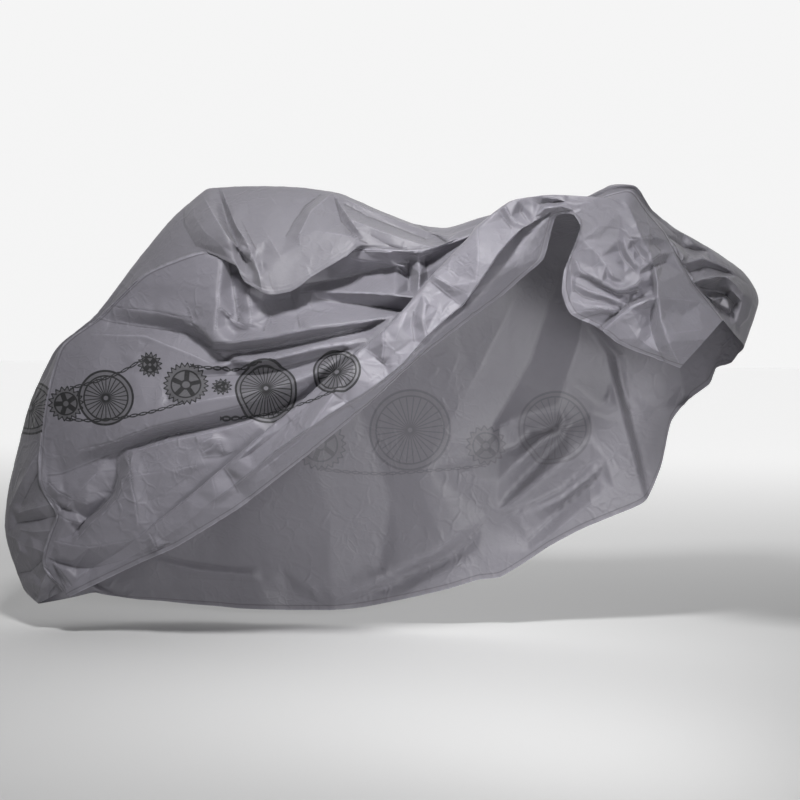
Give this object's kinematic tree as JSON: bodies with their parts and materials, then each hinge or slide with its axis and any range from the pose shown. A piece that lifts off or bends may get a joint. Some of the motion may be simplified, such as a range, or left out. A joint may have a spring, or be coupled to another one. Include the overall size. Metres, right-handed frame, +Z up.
{
  "type": "bicycle cover",
  "caption": "Thin film cover that drapes over a bicycle, two side panels joined along a perimeter seam, the near hem pulled up towards the front.",
  "frame": {"origin": "underside of the crown, the high point that the cover is held up by", "axes": "+X towards the front of what it covers, +Y away from the side shown in the picture, +Z up"},
  "size_m": [1.6833, 0.4618, 0.9723],
  "materials": {
    "near_panel": "satin grey film, slightly see-through, thin black line print",
    "far_panel": "satin grey film, slightly see-through, thin black line print"
  },
  "bodies": {
    "root": {"near_panel": "near_panel", "far_panel": "far_panel"}
  },
  "joints": []
}
